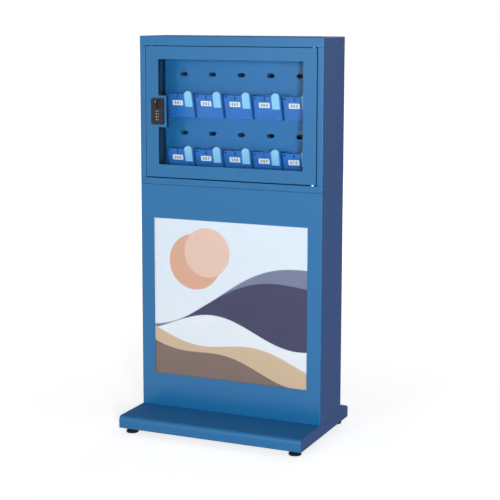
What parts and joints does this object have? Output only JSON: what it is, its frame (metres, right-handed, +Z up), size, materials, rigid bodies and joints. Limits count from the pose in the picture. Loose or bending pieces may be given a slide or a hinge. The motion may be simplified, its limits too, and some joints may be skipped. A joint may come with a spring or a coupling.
{
  "type": "cell phone locker box",
  "caption": "Free-standing phone locker: glazed cabinet with numbered phone pockets and a combination lock, on a poster column with a wide footed base.",
  "frame": {"origin": "on the floor, under the middle of the base", "axes": "+X to the viewer's right, +Y to the back, +Z up"},
  "size_m": [0.6, 0.402, 1.21],
  "materials": {
    "blue_paint": "satin powder coat",
    "zinc_steel": "zinc plated",
    "brass": "turned",
    "black_plastic": "fine moulded texture",
    "black_rubber": "matt",
    "pocket_blue": "moulded, slightly translucent",
    "light_insert": "pale translucent",
    "white_plate": "smooth with dark numbers",
    "poster_print": "printed poster sheet",
    "white_board": "foamed board",
    "clear_acrylic": "clear",
    "glass": "clear"
  },
  "bodies": {
    "locker": {"base_cover": "blue_paint", "base_end_left": "blue_paint", "base_end_right": "blue_paint", "column_front": "blue_paint", "column_side_left": "blue_paint", "column_side_right": "blue_paint", "column_back": "blue_paint", "column_floor": "blue_paint", "column_top": "blue_paint", "cabinet_top_cap": "blue_paint", "cabinet_bottom_cap": "blue_paint", "cabinet_side_left": "blue_paint", "cabinet_side_right": "blue_paint", "cabinet_back": "blue_paint", "pocket_panel": "blue_paint", "panel_bracket_left": "blue_paint", "panel_bracket_right": "blue_paint", "base_rail_left": "zinc_steel", "base_rail_right": "zinc_steel", "foot_nuts": "zinc_steel", "poster_clips": "zinc_steel", "hinge_pins": "zinc_steel", "frame_bolts": "zinc_steel", "pan_screws": "zinc_steel", "pocket_screws": "zinc_steel", "lock_strike": "zinc_steel", "cable_entry_grommet": "black_rubber", "phone_pocket_01": "pocket_blue", "phone_pocket_02": "pocket_blue", "phone_pocket_03": "pocket_blue", "phone_pocket_04": "pocket_blue", "phone_pocket_05": "pocket_blue", "phone_pocket_06": "pocket_blue", "phone_pocket_07": "pocket_blue", "phone_pocket_08": "pocket_blue", "phone_pocket_09": "pocket_blue", "phone_pocket_10": "pocket_blue", "pocket_lights": "light_insert", "number_plates": "white_plate", "poster_sheet": "poster_print", "poster_backing": "white_board", "poster_cover": "clear_acrylic"},
    "door": {"door_frame": "blue_paint", "door_glass": "glass", "door_gasket": "black_rubber", "glass_retainer": "blue_paint", "hinge_bushes": "brass", "lock_body": "black_plastic", "wheel_axle": "zinc_steel"},
    "knob": {"lock_knob": "black_plastic", "lock_cam": "zinc_steel"},
    "wheel_1": {"number_wheel_1": "black_plastic"},
    "wheel_2": {"number_wheel_2": "black_plastic"},
    "wheel_3": {"number_wheel_3": "black_plastic"},
    "wheel_4": {"number_wheel_4": "black_plastic"},
    "foot_front_left": {"foot_front_left": "black_plastic"},
    "foot_front_right": {"foot_front_right": "black_plastic"},
    "foot_rear_left": {"foot_rear_left": "black_plastic"},
    "foot_rear_right": {"foot_rear_right": "black_plastic"}
  },
  "joints": [
    {"name": "door_hinge", "type": "hinge", "parent": "locker", "child": "door", "pos_m": [0.2665, -0.037, 0.98], "axis": [0, 0, 1], "range_deg": [0, 110]},
    {"name": "lock_turn", "type": "hinge", "parent": "door", "child": "knob", "pos_m": [-0.238, -0.05, 1.00475], "axis": [0, 1, 0], "range_deg": [0, 90]},
    {"name": "wheel_1_turn", "type": "hinge", "parent": "door", "child": "wheel_1", "pos_m": [-0.238, -0.04799, 0.98225], "axis": [0, 0, 1], "continuous": true},
    {"name": "wheel_2_turn", "type": "hinge", "parent": "door", "child": "wheel_2", "pos_m": [-0.238, -0.04799, 0.97375], "axis": [0, 0, 1], "continuous": true},
    {"name": "wheel_3_turn", "type": "hinge", "parent": "door", "child": "wheel_3", "pos_m": [-0.238, -0.04799, 0.96525], "axis": [0, 0, 1], "continuous": true},
    {"name": "wheel_4_turn", "type": "hinge", "parent": "door", "child": "wheel_4", "pos_m": [-0.238, -0.04799, 0.95675], "axis": [0, 0, 1], "continuous": true},
    {"name": "foot_front_left_screw", "type": "slide", "parent": "locker", "child": "foot_front_left", "axis": [0, 0, -1], "range_m": [0, 0.01]},
    {"name": "foot_front_right_screw", "type": "slide", "parent": "locker", "child": "foot_front_right", "axis": [0, 0, -1], "range_m": [0, 0.01]},
    {"name": "foot_rear_left_screw", "type": "slide", "parent": "locker", "child": "foot_rear_left", "axis": [0, 0, -1], "range_m": [0, 0.01]},
    {"name": "foot_rear_right_screw", "type": "slide", "parent": "locker", "child": "foot_rear_right", "axis": [0, 0, -1], "range_m": [0, 0.01]}
  ]
}
